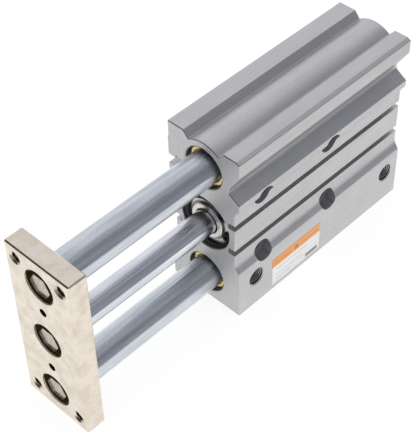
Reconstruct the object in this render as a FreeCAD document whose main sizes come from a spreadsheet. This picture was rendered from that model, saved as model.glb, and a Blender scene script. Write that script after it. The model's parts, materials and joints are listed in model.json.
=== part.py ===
"""Guided pneumatic cylinder: a compact cylinder with two guide rods beside its piston rod.

The part's frame: +X runs from the tooling plate to the rear of the body, +Z up along the row
of three rods, and the supply ports face -Y. The origin is the centre of the body's narrow
underside, on which the cylinder stands. The rods are drawn fully extended. Millimetres.
"""

import FreeCAD, Part
import math
import os

import Sketcher

doc = FreeCAD.newDocument("guided_cylinder")

DIMENSIONS = [
    ("stroke", 75.0, "travel of the tooling plate"),
    ("bore_dia", 25.0, "cylinder bore"),
    ("piston_rod_dia", 12.0, "piston rod"),
    ("guide_rod_dia", 16.0, "guide rods"),
    ("guide_pitch", 32.0, "piston rod axis to each guide rod axis"),
    ("rod_margin", 14.5, "guide rod axes to the top and to the underside"),
    ("run_clearance", 0.05, "radial play of a sliding fit"),
    ("seat_clearance", 0.05, "radial play of a piece that is pressed or clipped into its seat"),
    ("port_face", 20.4, "axis plane to the face with the ports"),
    ("mount_face", 21.0, "axis plane to the mounting face"),
    ("edge_relief", 0.4, "step from the mounting face to its outer strips"),
    ("edge_strip", 9.0, "width of those outer strips"),
    ("port_sink", 2.6, "port face to its sunk middle land"),
    ("mount_sink", 3.2, "mounting face to its sunk middle land"),
    ("middle_inner", 15.5, "half width of the middle lands"),
    ("middle_outer", 19.5, "half width of the recess at the outer face"),
    ("hump_radius", 14.0, "ridge over the upper guide rod"),
    ("hump_half", 8.6, "half width of that ridge"),
    ("flange_inner", 11.5, "axis plane to the inner edge of the top flanges"),
    ("flange_thickness", 7.6, "top flange on the port side"),
    ("flange_bevel_width", 2.0, "bevel along the port side's top edge"),
    ("flange_bevel_drop", 0.8, "fall of that bevel"),
    ("flange_lip_run", 0.9, "first, steeper facet under the flange, inwards"),
    ("flange_lip_drop", 1.6, "first facet under the flange, downwards"),
    ("ridge_width", 3.4, "narrow land between the middle recess and the long grip groove"),
    ("groove_rise", 5.0, "that land to the middle of the grip groove's floor"),
    ("groove_floor_half", 1.2, "half width of that floor"),
    ("groove_depth", 6.0, "port face to that floor"),
    ("groove_round", 1.8, "fillet in the floor of the grip groove"),
    ("land_round", 5.0, "fillet beside the sunk middle lands"),
    ("slope_round", 2.5, "round where their slopes reach the outer faces"),
    ("edge_round", 0.4, "small round of the profile's corners"),
    ("end_chamfer", 0.3, "deburred edge of both sawn ends"),
    ("tslot_offset", 7.0, "guide rod axes to the T-slots, towards the piston rod"),
    ("tslot_mouth", 5.4, "T-slot mouth"),
    ("tslot_lip", 4.5, "T-slot lip depth"),
    ("tslot_inner", 8.2, "T-slot inner width"),
    ("tslot_floor", 3.0, "T-slot depth behind the lips"),
    ("sensor_offset", 7.6, "piston rod axis to each sensor slot"),
    ("sensor_width", 3.2, "sensor slot width"),
    ("sensor_depth", 3.9, "sensor slot depth"),
    ("end_lip", 1.05, "material in front of each clip groove of the cylinder bore"),
    ("clip_groove", 1.3, "width of those grooves"),
    ("mouth_step", 1.75, "bore wall to the wall of the widened ends that seat the covers"),
    ("clip_groove_depth", 0.75, "clip grooves in those ends"),
    ("collar_flange", 8.6, "rod collar, seated length"),
    ("collar_hub_dia", 18.0, "rod collar, hub that stands out through its clip"),
    ("collar_hub", 1.35, "rod collar, length of that hub"),
    ("collar_nose", 3.0, "rod collar, nose inside the bore"),
    ("cover_flange", 5.2, "rear cover, seated length"),
    ("cover_nose", 2.0, "rear cover, nose inside the bore"),
    ("nose_room", 2.0, "bore wall to the noses of collar and cover, so that air gets in"),
    ("piston_length", 13.0, "piston"),
    ("piston_gap", 0.5, "piston face to collar or cover at each end of the stroke"),
    ("piston_play", 0.1, "radial play of the piston in its bore"),
    ("bushing_wall", 2.5, "guide rod to the bore that holds its bushings"),
    ("guide_lip", 0.6, "material in front of each clip groove of the guide bores"),
    ("guide_groove", 0.7, "width of those grooves"),
    ("bushing_setback", 0.7, "those grooves to the bushings"),
    ("guide_groove_depth", 0.6, "clip grooves of the guide bores"),
    ("bore_chamfer", 0.4, "broken edge of all bore mouths"),
    ("bushing_length", 20.0, "guide bushings"),
    ("guide_overhang", 24.0, "guide rods past the rear face when retracted"),
    ("plate_gap", 6.0, "plate to body when retracted"),
    ("plate_thickness", 9.5, "tooling plate"),
    ("plate_width", 37.2, "tooling plate across the rods"),
    ("plate_height", 91.0, "tooling plate along the row of rods"),
    ("plate_chamfer", 0.6, "broken edges of the plate"),
    ("plate_tap_inset_y", 5.6, "plate's long edges to its threads"),
    ("plate_tap_inset_z", 6.5, "plate's short edges to its threads"),
    ("plate_tap_dia", 5.0, "tooling plate threads, core"),
    ("plate_sink_dia", 6.8, "countersink of those threads"),
    ("plate_dowel_pitch", 34.0, "dowel holes of the plate"),
    ("plate_dowel_dia", 4.0, "dowel holes of the plate"),
    ("screw_head_dia", 15.9, "plate screws, low head"),
    ("screw_head", 5.2, "plate screws, head height"),
    ("screw_recess", 0.4, "plate screws, head below the plate's face"),
    ("screw_room", 0.3, "radial room round the heads"),
    ("screw_dia", 8.0, "plate screws, shank"),
    ("screw_reach", 14.0, "plate screws, length in the rods"),
    ("screw_spare", 3.0, "spare depth of the rods' threads"),
    ("shank_room", 0.5, "radial room of a shank in its clearance hole"),
    ("socket_across", 10.2, "plate screws, hexagon across flats"),
    ("socket_depth", 0.75, "plate screws, hexagon depth"),
    ("head_chamfer", 0.5, "plate screws, rim of the head"),
    ("rod_chamfer", 0.8, "rod ends"),
    ("side_hole_front", 17.0, "front face to the first mounting holes"),
    ("side_hole_pitch_x", 44.0, "mounting holes along the body"),
    ("web_shift", 0.125, "mounting holes and rear threads, off the webs' middles, outwards"),
    ("side_hole_dia", 5.4, "mounting holes"),
    ("side_sink_dia", 10.0, "counterbores of the mounting holes"),
    ("side_sink_depth", 5.6, "counterbores below the port face"),
    ("rear_tap_y", 26.0, "rear face threads, across"),
    ("rear_tap_dia", 5.0, "rear face threads, core"),
    ("rear_tap_depth", 12.0, "rear face threads"),
    ("port_front", 11.5, "front face to the front ports"),
    ("port_rear", 9.0, "rear face to the rear ports"),
    ("port_lift", 2.8, "lower guide rod axis to the height of the side ports"),
    ("port_dia", 8.6, "ports, thread core"),
    ("port_depth", 8.0, "side ports"),
    ("port_rim_dia", 9.8, "broken rim of the ports"),
    ("plug_port_y", 13.5, "axis plane to the plugged ports of the underside"),
    ("plug_port_depth", 7.5, "plugged ports"),
    ("plug_length", 6.0, "port plugs"),
    ("plug_recess", 0.8, "port plugs below the underside"),
    ("plug_socket", 5.0, "port plugs, hexagon across flats"),
    ("plug_socket_depth", 3.5, "port plugs, hexagon depth"),
    ("passage_dia", 3.4, "air passages"),
    ("passage_start_y", 15.5, "axis plane to the air passages at the plugged ports"),
    ("passage_end_y", 8.0, "axis plane to the air passages in the cylinder bore"),
    ("passage_end_drop", 7.5, "air passages' end below the piston rod axis"),
    ("clip_thickness", 1.2, "clip of the cylinder bore"),
    ("clip_width", 3.15, "radial width of that clip, half way round"),
    ("clip_taper", 0.8, "extra width of that clip at its back, less at its opening"),
    ("clip_lug_dia", 4.6, "its lugs"),
    ("clip_lug_hole", 1.8, "its lug holes"),
    ("clip_lug_inset", 3.25, "its rim to the middles of its lugs"),
    ("clip_gap", 10.9, "opening between the lugs' middles"),
    ("clip_turn", 167.0, "where the lugs point, in degrees from +Y towards +Z"),
    ("guide_clip_thickness", 0.6, "clips of the guide bores"),
    ("guide_clip_width", 1.05, "radial width of those clips"),
    ("guide_clip_gap", 7.0, "opening of those clips"),
    ("rod_seal_width", 2.15, "rod to the wall of its seal's seat"),
    ("rod_seal_depth", 3.4, "rod seal seat"),
    ("rod_seal_lip", 0.9, "wall of the collar in front of that seat"),
    ("rod_seal_room", 0.5, "rod to that wall, which the seal's wiper fills"),
    ("gasket_dia", 1.8, "O-ring section in collar and cover"),
    ("gasket_squeeze", 0.02, "gap of the O-rings to their groove"),
    ("gasket_groove", 2.4, "O-ring groove width"),
    ("collar_gasket_x", 4.0, "collar front to its O-ring"),
    ("cover_gasket_x", 2.2, "cover flange to its O-ring"),
    ("rod_seat", 3.0, "rod end inside the piston"),
    ("piston_screw_dia", 6.0, "piston screw, shank"),
    ("piston_screw_head_dia", 10.0, "piston screw, head"),
    ("piston_screw_head", 4.0, "piston screw, head height"),
    ("piston_screw_sink", 5.0, "piston screw, counterbore depth"),
    ("piston_screw_reach", 10.0, "piston screw, length in the rod"),
    ("piston_screw_socket", 5.0, "piston screw, hexagon across flats"),
    ("piston_screw_socket_depth", 2.5, "piston screw, hexagon depth"),
    ("bumper_inset", 3.0, "bore wall to the cushion rings of the piston"),
    ("bumper_thickness", 1.2, "cushion rings"),
    ("bumper_proud", 0.4, "cushion rings in front of the piston's faces"),
    ("seal_front", 2.4, "piston front to its seal groove"),
    ("seal_groove", 3.2, "seal groove width"),
    ("seal_groove_depth", 2.9, "bore wall to the seal groove's floor"),
    ("magnet_front", 7.0, "piston front to its magnet groove"),
    ("magnet_groove", 3.2, "magnet groove width"),
    ("magnet_groove_depth", 3.2, "bore wall to the magnet groove's floor"),
    ("ring_play", 0.1, "play of a ring in its groove, on each side"),
]

LAYOUT = [
    ("half_length", "(2 * (dims.end_lip + dims.clip_groove + dims.piston_gap) + dims.collar_flange"
     " + dims.collar_nose + dims.piston_length + dims.stroke + dims.cover_flange"
     " + dims.cover_nose) / 2"),
    ("axis_height", "dims.rod_margin + dims.guide_pitch"),
    ("body_height", "2 * axis_height"),
    ("upper_z", "axis_height + dims.guide_pitch"),
    ("lower_z", "axis_height - dims.guide_pitch"),
    ("mouth_dia", "dims.bore_dia + 2 * dims.mouth_step"),
    ("clip_groove_dia", "mouth_dia + 2 * dims.clip_groove_depth"),
    ("nose_dia", "dims.bore_dia - 2 * dims.nose_room"),
    ("guide_bore_dia", "dims.guide_rod_dia + 2 * dims.bushing_wall"),
    ("guide_groove_dia", "guide_bore_dia + 2 * dims.guide_groove_depth"),
    ("rod_seal_dia", "dims.piston_rod_dia + 2 * dims.rod_seal_width"),
    ("bumper_dia", "dims.bore_dia - 2 * dims.bumper_inset"),
    ("seal_root_dia", "dims.bore_dia - 2 * dims.seal_groove_depth"),
    ("magnet_root_dia", "dims.bore_dia - 2 * dims.magnet_groove_depth"),
    ("port_land", "dims.port_face - dims.port_sink"),
    ("mount_land", "dims.mount_face - dims.mount_sink"),
    ("groove_floor", "dims.port_face - dims.groove_depth"),
    ("groove_low", "axis_height + dims.middle_outer + dims.ridge_width"),
    ("groove_height", "groove_low + dims.groove_rise"),
    ("web_offset", "(dims.bore_dia / 2 + dims.guide_pitch - guide_bore_dia / 2) / 2"
     " + dims.web_shift"),
    ("port_height", "lower_z + dims.port_lift"),
    ("mouth_front", "dims.end_lip + dims.clip_groove + dims.collar_flange"),
    ("mouth_rear", "dims.end_lip + dims.clip_groove + dims.cover_flange"),
    ("collar_x", "dims.end_lip + dims.clip_groove - half_length"),
    ("piston_x", "collar_x + dims.collar_flange + dims.collar_nose + dims.piston_gap"),
    ("cover_x", "piston_x + dims.piston_length + dims.stroke + dims.piston_gap"),
    ("plate_back_x", "-half_length - dims.plate_gap - dims.stroke"),
    ("plate_front_x", "plate_back_x - dims.plate_thickness"),
    ("guide_rod_length", "2 * half_length + dims.plate_gap + dims.guide_overhang"),
    ("piston_rod_length", "piston_x - plate_back_x + dims.rod_seat"),
    ("screw_sink_depth", "dims.screw_head + dims.screw_recess"),
    ("screw_length", "dims.plate_thickness - screw_sink_depth + dims.screw_reach"),
    ("hump_end_z", "upper_z + sqrt(dims.hump_radius ^ 2 - dims.hump_half ^ 2)"),
    ("port_front_x", "dims.port_front - half_length"),
    ("port_rear_x", "half_length - dims.port_rear"),
]

dims = doc.addObject("Spreadsheet::Sheet", "dims")
for row, (alias, size, note) in enumerate(DIMENSIONS, 1):
    dims.set(f"A{row}", note)
    dims.set(f"B{row}", str(size))
    dims.setAlias(f"B{row}", alias)
layout = doc.addObject("Spreadsheet::Sheet", "layout")
for row, (alias, formula) in enumerate(LAYOUT, 1):
    layout.set(f"A{row}", alias.replace("_", " "))
    layout.set(f"B{row}", "=" + formula)
    layout.setAlias(f"B{row}", alias)
doc.recompute()


def value(expression):
    """Number that an expression on the two sheets gives."""
    return float(dims.evalExpression(str(expression)))


def bind(item, **expressions):
    """Bind properties; two underscores in a name stand for the dot of a sub-property."""
    for path, expression in expressions.items():
        item.setExpression(path.replace("__", "."), str(expression))


def pin(sketch, geometry, point, across, up):
    """Hold one point of a sketch at two expressions, measured from the sketch's origin."""
    for kind, axis, expression in (("DistanceX", -2, across), ("DistanceY", -1, up)):
        if expression == "0":
            sketch.addConstraint(Sketcher.Constraint("PointOnObject", geometry, point, axis))
            continue
        index = sketch.addConstraint(
            Sketcher.Constraint(kind, -1, 1, geometry, point, value(expression)))
        sketch.setExpression(f"Constraints[{index}]", expression)


def draw_loop(sketch, corners, arcs=None):
    """Closed outline through the corners; arcs[i] = (centre, radius) bends the edge after i."""
    arcs = arcs or {}
    points = [FreeCAD.Vector(value(across), value(up), 0) for across, up in corners]
    edges = []
    for i, start in enumerate(points):
        end = points[(i + 1) % len(points)]
        if i not in arcs:
            edges.append((sketch.addGeometry(Part.LineSegment(start, end), False), 1, 2))
            continue
        (across, up), radius = arcs[i]
        centre = FreeCAD.Vector(value(across), value(up), 0)
        first = math.atan2(start.y - centre.y, start.x - centre.x)
        last = math.atan2(end.y - centre.y, end.x - centre.x)
        forward = (last - first) % (2 * math.pi) < math.pi
        circle = Part.Circle(centre, FreeCAD.Vector(0, 0, 1), value(radius))
        span = (first, last) if forward else (last, first)
        edge = sketch.addGeometry(Part.ArcOfCircle(circle, *span), False)
        edges.append((edge, 1, 2) if forward else (edge, 2, 1))
    for i, (edge, _, tail) in enumerate(edges):
        following, head, _ = edges[(i + 1) % len(edges)]
        sketch.addConstraint(Sketcher.Constraint("Coincident", edge, tail, following, head))
    for (edge, head, _), (across, up) in zip(edges, corners):
        pin(sketch, edge, head, across, up)
    for i, (_, radius) in arcs.items():
        index = sketch.addConstraint(Sketcher.Constraint("Radius", edges[i][0], value(radius)))
        sketch.setExpression(f"Constraints[{index}]", radius)


def draw_circle(sketch, across, up, diameter):
    """Circle with its middle and diameter bound to expressions."""
    middle = FreeCAD.Vector(value(across), value(up), 0)
    circle = Part.Circle(middle, FreeCAD.Vector(0, 0, 1), value(diameter) / 2)
    edge = sketch.addGeometry(circle, False)
    pin(sketch, edge, 3, across, up)
    index = sketch.addConstraint(Sketcher.Constraint("Diameter", edge, value(diameter)))
    sketch.setExpression(f"Constraints[{index}]", diameter)


def hexagon(across_flats):
    """Corners of a hexagon round the sketch's origin, two flats level."""
    side = f"({across_flats}) / 2"
    tall = f"({across_flats}) / sqrt(3)"
    half = f"({across_flats}) / (2 * sqrt(3))"
    return [(half, side), (tall, "0"), (half, f"-{side}"),
            (f"-{half}", f"-{side}"), (f"-{tall}", "0"), (f"-{half}", side)]


def new_body(label):
    body = doc.addObject("PartDesign::Body", label)
    body.Label = label
    return body


def new_sketch(body, name, plane, offset=None, lift=None):
    """Sketch on one of the body's own origin planes, moved by expressions along its axes."""
    sketch = body.newObject("Sketcher::SketchObject", name)
    origin = next(f for f in body.Origin.OriginFeatures if f.Role == plane)
    sketch.AttachmentSupport = [(origin, "")]
    sketch.MapMode = "FlatFace"
    if offset is not None:
        bind(sketch, AttachmentOffset__Base__z=offset)
    if lift is not None:
        bind(sketch, AttachmentOffset__Base__y=lift)
    return sketch


def feature(body, kind, name, profile, **expressions):
    """PartDesign feature on a profile, checked to change the body's volume the right way."""
    doc.recompute()
    before = body.Shape.Volume if body.Tip else 0.0
    item = body.newObject("PartDesign::" + kind, name)
    item.Profile = profile
    bind(item, **expressions)
    return item, before


def check_cut(body, name, before):
    doc.recompute()
    if "Invalid" in body.Tip.State or not body.Shape.Volume < before:
        raise RuntimeError(f"{body.Label}: {name} removes nothing: {body.Tip.getStatusString()}")


def pad(body, name, sketch, length, backwards=False):
    item, _ = feature(body, "Pad", name, sketch, Length=length)
    item.Reversed = backwards
    doc.recompute()
    return item


def pocket(body, name, sketch, depth=None, backwards=False):
    """Cut of a depth, or right through both ways when no depth is given."""
    expressions = {} if depth is None else {"Length": depth}
    item, before = feature(body, "Pocket", name, sketch, **expressions)
    item.Reversed = backwards
    if depth is None:
        item.Type = "ThroughAll"
        item.Midplane = True
    check_cut(body, name, before)
    return item


def turn(body, name, sketch, cut=False):
    """Revolve a sketch about its own horizontal axis."""
    item, before = feature(body, "Groove" if cut else "Revolution", name, sketch)
    item.ReferenceAxis = (sketch, ["H_Axis"])
    item.Angle = 360
    if cut:
        check_cut(body, name, before)
    doc.recompute()
    return item


def hole(body, name, sketch, diameter, depth=None, sink=None, sink_depth=None, backwards=False):
    """Drilled holes; a sink alone is a broken rim, with a depth it is a counterbore."""
    item, before = feature(body, "Hole", name, sketch)
    doc.recompute()
    item.DepthType = "ThroughAll" if depth is None else "Dimension"
    item.DrillPoint = "Flat"
    bind(item, Diameter=diameter)
    if depth is not None:
        bind(item, Depth=depth)
    if sink is not None:
        item.HoleCutType = "Countersink" if sink_depth is None else "Counterbore"
        item.HoleCutCustomValues = True
        bind(item, HoleCutDiameter=sink)
        if sink_depth is None:
            item.HoleCutCountersinkAngle = 90
        else:
            bind(item, HoleCutDepth=sink_depth)
    item.Reversed = backwards
    check_cut(body, name, before)
    return item


def turned_piece(label, corners, place_x, place_z="layout.axis_height"):
    """Piece turned on a lathe: corners are (along the axis, radius), from its own front."""
    body = new_body(label)
    sketch = new_sketch(body, label + "_profile", "XZ_Plane")
    draw_loop(sketch, corners)
    turn(body, label + "_turning", sketch)
    bind(body, Placement__Base__x=place_x, Placement__Base__z=place_z)
    return body


def dress_edges(body, kind, name, size, chosen):
    """Fillet or chamfer the edges of the body that a test picks."""
    doc.recompute()
    base = body.Tip
    names = [f"Edge{i}" for i, edge in enumerate(base.Shape.Edges, 1) if chosen(edge)]
    item = body.newObject("PartDesign::" + kind, name)
    item.Base = (base, names)
    bind(item, **{"Radius" if kind == "Fillet" else "Size": size})
    doc.recompute()
    if "Invalid" in item.State:
        raise RuntimeError(f"{body.Label}: {name}: {item.getStatusString()}")
    return item


def runs_along_x(edge):
    ends = [vertex.Point for vertex in edge.Vertexes]
    return len(ends) == 2 and abs(ends[0].y - ends[1].y) + abs(ends[0].z - ends[1].z) < 1e-6


def near(edge, y, z):
    point = edge.Vertexes[0].Point
    return abs(point.y - y) + abs(point.z - z) < 1e-3


def body_outline():
    """Section of the extruded body, and which of its corners get which fillet."""
    low_in, top_in = (f"layout.axis_height {sign} dims.middle_inner" for sign in "-+")
    low_out, top_out = (f"layout.axis_height {sign} dims.middle_outer" for sign in "-+")
    strip = "dims.mount_face - dims.edge_relief"
    groove_low = "layout.groove_height - dims.groove_floor_half"
    groove_top = "layout.groove_height + dims.groove_floor_half"
    flange_low = "layout.body_height - dims.flange_thickness"
    mount_side = [
        (strip, "0"),
        (strip, "dims.edge_strip"),
        ("dims.mount_face", "dims.edge_strip"),
        ("dims.mount_face", low_out),
        ("layout.mount_land", low_in),
        ("layout.mount_land", top_in),
        ("dims.mount_face", top_out),
        ("dims.mount_face", "layout.body_height - dims.edge_strip"),
        (strip, "layout.body_height - dims.edge_strip"),
        (strip, "layout.body_height"),
    ]
    top = [
        ("dims.flange_inner", "layout.body_height"),
        ("dims.hump_half", "layout.hump_end_z"),
        ("-dims.hump_half", "layout.hump_end_z"),
        ("-dims.flange_inner", "layout.body_height"),
    ]
    port_side = [
        ("dims.flange_bevel_width - dims.port_face", "layout.body_height"),
        ("-dims.port_face", "layout.body_height - dims.flange_bevel_drop"),
        ("-dims.port_face", flange_low),
        ("dims.flange_lip_run - dims.port_face", f"{flange_low} - dims.flange_lip_drop"),
        ("-layout.groove_floor", groove_top),
        ("-layout.groove_floor", groove_low),
        ("-dims.port_face", "layout.groove_low"),
        ("-dims.port_face", top_out),
        ("-layout.port_land", top_in),
        ("-layout.port_land", low_in),
        ("-dims.port_face", low_out),
        ("-dims.port_face", "0"),
    ]
    corners = mount_side + top + port_side
    hump = {len(mount_side) + 1: (("0", "layout.upper_z"), "dims.hump_radius")}
    land_corners = [(value(across), value(up)) for up in (low_in, top_in)
                    for across in ("layout.mount_land", "-layout.port_land")]
    groove_corners = [(-value("layout.groove_floor"), value(up)) for up in (groove_low, groove_top)]
    slope_corners = [(value(across), value(up)) for up in (low_out, top_out)
                     for across in ("dims.mount_face", "-dims.port_face")]
    step_heights = [value("dims.edge_strip"), value("layout.body_height - dims.edge_strip")]
    sharp = [(value(across), value(up)) for across, up in corners]
    sharp = [(across, up) for across, up in sharp if up not in step_heights
             and (across, up) not in land_corners + slope_corners + groove_corners]
    return corners, hump, land_corners, slope_corners, groove_corners, sharp


def cylinder_bore(body):
    """Cylinder bore with a wider mouth and a clip groove at each end, as one turned cut."""
    rear = "2 * layout.half_length"
    edge = "layout.mouth_dia / 2 + dims.bore_chamfer"
    mouth, groove, bore = "layout.mouth_dia / 2", "layout.clip_groove_dia / 2", "dims.bore_dia / 2"
    near_groove, far_groove = "dims.end_lip", "dims.end_lip + dims.clip_groove"
    corners = [
        ("0", "0"), ("0", edge), ("dims.bore_chamfer", mouth),
        (near_groove, mouth), (near_groove, groove), (far_groove, groove), (far_groove, mouth),
        ("layout.mouth_front", mouth), ("layout.mouth_front", bore),
        (f"{rear} - layout.mouth_rear", bore), (f"{rear} - layout.mouth_rear", mouth),
        (f"{rear} - ({far_groove})", mouth), (f"{rear} - ({far_groove})", groove),
        (f"{rear} - {near_groove}", groove), (f"{rear} - {near_groove}", mouth),
        (f"{rear} - dims.bore_chamfer", mouth), (rear, edge), (rear, "0"),
    ]
    sketch = new_sketch(body, "cylinder_bore_profile", "XZ_Plane", lift="layout.axis_height")
    draw_loop(sketch, corners)
    turn(body, "cylinder_bore", sketch, cut=True)


def guide_bore(body, name, height):
    """Bore for two guide bushings, with a clip groove at each end."""
    rear = "2 * layout.half_length"
    edge = "layout.guide_bore_dia / 2 + dims.bore_chamfer"
    wall, groove = "layout.guide_bore_dia / 2", "layout.guide_groove_dia / 2"
    near_groove, far_groove = "dims.guide_lip", "dims.guide_lip + dims.guide_groove"
    corners = [
        ("0", "0"), ("0", edge), ("dims.bore_chamfer", wall),
        (near_groove, wall), (near_groove, groove), (far_groove, groove), (far_groove, wall),
        (f"{rear} - ({far_groove})", wall), (f"{rear} - ({far_groove})", groove),
        (f"{rear} - {near_groove}", groove), (f"{rear} - {near_groove}", wall),
        (f"{rear} - dims.bore_chamfer", wall), (rear, edge), (rear, "0"),
    ]
    sketch = new_sketch(body, name + "_profile", "XZ_Plane", lift=height)
    draw_loop(sketch, corners)
    turn(body, name, sketch, cut=True)


def body_slots(body):
    """T-slots of the mounting face and the sensor slots of both wide faces."""
    margin = "dims.mount_face + dims.edge_relief"
    lip = "dims.mount_face - dims.tslot_lip"
    floor = "dims.mount_face - dims.tslot_lip - dims.tslot_floor"
    for name, sign in (("upper_tslot", "+"), ("lower_tslot", "-")):
        middle = f"layout.axis_height {sign} (dims.guide_pitch - dims.tslot_offset)"
        mouth = [f"{middle} {s} dims.tslot_mouth / 2" for s in "-+"]
        inner = [f"{middle} {s} dims.tslot_inner / 2" for s in "-+"]
        sketch = new_sketch(body, name + "_profile", "YZ_Plane")
        draw_loop(sketch, [
            (margin, mouth[0]), (margin, mouth[1]), (lip, mouth[1]), (lip, inner[1]),
            (floor, inner[1]), (floor, inner[0]), (lip, inner[0]), (lip, mouth[0])])
        pocket(body, name, sketch)
    for side, turned, land in (("port", "-", "layout.port_land"), ("mount", "", "layout.mount_land")):
        for level, sign in (("upper", "+"), ("lower", "-")):
            name = f"{side}_side_{level}_sensor_slot"
            middle = f"layout.axis_height {sign} dims.sensor_offset"
            outer = f"{turned}({land} + dims.edge_relief)"
            inner = f"{turned}({land} - dims.sensor_depth)"
            low, high = (f"{middle} {s} dims.sensor_width / 2" for s in "-+")
            sketch = new_sketch(body, name + "_profile", "YZ_Plane")
            draw_loop(sketch, [(outer, low), (outer, high), (inner, high), (inner, low)])
            pocket(body, name, sketch)


def body_holes(body):
    """Mounting holes, rear threads, ports and their air passages, from the body's front face."""
    sketch = new_sketch(body, "mounting_hole_centres", "XZ_Plane", offset="dims.port_face")
    for far in ("", " + dims.side_hole_pitch_x"):
        for sign in "-+":
            draw_circle(sketch, "dims.side_hole_front" + far,
                        f"layout.axis_height {sign} layout.web_offset", "dims.side_hole_dia")
    hole(body, "mounting_holes", sketch, "dims.side_hole_dia",
         sink="dims.side_sink_dia", sink_depth="dims.side_sink_depth")

    sketch = new_sketch(body, "rear_thread_centres", "YZ_Plane", offset="2 * layout.half_length")
    for across in ("dims.rear_tap_y / 2", "-dims.rear_tap_y / 2"):
        for sign in "-+":
            draw_circle(sketch, across, f"layout.axis_height {sign} layout.web_offset",
                        "dims.rear_tap_dia")
    hole(body, "rear_threads", sketch, "dims.rear_tap_dia", depth="dims.rear_tap_depth")

    places = ("dims.port_front", "2 * layout.half_length - dims.port_rear")
    sketch = new_sketch(body, "port_centres", "XZ_Plane", offset="dims.port_face")
    for along in places:
        draw_circle(sketch, along, "layout.port_height", "dims.port_dia")
    hole(body, "ports", sketch, "dims.port_dia", depth="dims.port_depth", sink="dims.port_rim_dia")

    sketch = new_sketch(body, "plugged_port_centres", "XY_Plane")
    for along in places:
        draw_circle(sketch, along, "-dims.plug_port_y", "dims.port_dia")
    hole(body, "plugged_ports", sketch, "dims.port_dia", depth="dims.plug_port_depth",
         sink="dims.port_rim_dia", backwards=True)

    run = "(dims.passage_start_y - dims.passage_end_y)"
    rise = "(layout.axis_height - dims.passage_end_drop - dims.plug_port_depth)"
    for name, along in zip(("front_passage", "rear_passage"), places):
        before = body.Shape.Volume
        passage = body.newObject("PartDesign::SubtractiveCylinder", name)
        bind(passage, Radius="dims.passage_dia / 2", Height=f"sqrt({run} ^ 2 + {rise} ^ 2)",
             Placement__Base__x=along, Placement__Base__y="-dims.passage_start_y",
             Placement__Base__z="dims.plug_port_depth",
             Placement__Rotation__Angle=f"-atan({run} / {rise})")
        passage.Placement.Rotation.Axis = FreeCAD.Vector(1, 0, 0)
        check_cut(body, name, before)


def make_barrel():
    """Extruded and anodised body with all its bores, slots and holes."""
    body = new_body("barrel_body")
    corners, hump, land_corners, slope_corners, groove_corners, sharp = body_outline()
    sketch = new_sketch(body, "section", "YZ_Plane")
    draw_loop(sketch, corners, hump)
    pad(body, "extrusion", sketch, "2 * layout.half_length")
    dress_edges(body, "Fillet", "land_fillets", "dims.land_round",
                lambda e: runs_along_x(e) and any(near(e, *c) for c in land_corners))
    dress_edges(body, "Fillet", "slope_fillets", "dims.slope_round",
                lambda e: runs_along_x(e) and any(near(e, *c) for c in slope_corners))
    dress_edges(body, "Fillet", "groove_fillets", "dims.groove_round",
                lambda e: runs_along_x(e) and any(near(e, *c) for c in groove_corners))
    dress_edges(body, "Fillet", "corner_rounds", "dims.edge_round",
                lambda e: runs_along_x(e) and any(near(e, *c) for c in sharp))
    ends = (0.0, 2 * value("layout.half_length"))
    dress_edges(body, "Chamfer", "end_edges", "dims.end_chamfer",
                lambda e: any(all(abs(v.Point.x - x) < 1e-6 for v in e.Vertexes) for x in ends))
    cylinder_bore(body)
    guide_bore(body, "upper_guide_bore", "layout.upper_z")
    guide_bore(body, "lower_guide_bore", "layout.lower_z")
    body_slots(body)
    body_holes(body)
    bind(body, Placement__Base__x="-layout.half_length")
    return body


def clip(label, thickness, outer, width, gap, turn_angle, place_x, place_z,
         taper="0", lugs=None):
    """Spring clip for a bore groove: an open ring, with two drilled lugs where lugs is given."""
    body = new_body(label)
    ring = new_sketch(body, label + "_ring", "YZ_Plane")
    inner = f"({outer} - 2 * {width})"
    draw_circle(ring, "0", "0", outer)
    draw_circle(ring, taper, "0", inner)
    pad(body, label + "_blank", ring, thickness)
    if lugs:
        lug_dia, hole_dia, inset = lugs
        reach = f"({outer} / 2 - {inset})"
        across = f"sqrt({reach} ^ 2 - ({gap} / 2) ^ 2)"
        ears = new_sketch(body, label + "_lug_outlines", "YZ_Plane")
        for sign in ("", "-"):
            draw_circle(ears, across, f"{sign}{gap} / 2", lug_dia)
        pad(body, label + "_lugs", ears, thickness)
        holes = new_sketch(body, label + "_lug_hole_outlines", "YZ_Plane")
        for sign in ("", "-"):
            draw_circle(holes, across, f"{sign}{gap} / 2", hole_dia)
        pocket(body, label + "_lug_holes", holes)
        gap = f"({gap} - {lug_dia})"
    opening = new_sketch(body, label + "_opening_outline", "YZ_Plane")
    draw_loop(opening, [("0", f"-{gap} / 2"), (outer, f"-{gap} / 2"),
                        (outer, f"{gap} / 2"), ("0", f"{gap} / 2")])
    pocket(body, label + "_opening", opening)
    body.Placement.Rotation.Axis = FreeCAD.Vector(1, 0, 0)
    bind(body, Placement__Base__x=place_x, Placement__Base__z=place_z,
         Placement__Rotation__Angle=turn_angle)
    return body


def cover_rim(flange, nose, gasket_x):
    """Outer corners of the turned collar or cover, from its flange's face to its nose."""
    outer = "layout.mouth_dia / 2 - dims.seat_clearance"
    root = "layout.mouth_dia / 2 - dims.gasket_dia - 2 * dims.gasket_squeeze"
    first = f"{gasket_x} - dims.gasket_groove / 2"
    last = f"{gasket_x} + dims.gasket_groove / 2"
    return [("0", outer), (first, outer), (first, root), (last, root), (last, outer),
            (flange, outer), (flange, "layout.nose_dia / 2"),
            (f"{flange} + {nose}", "layout.nose_dia / 2")]


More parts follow.
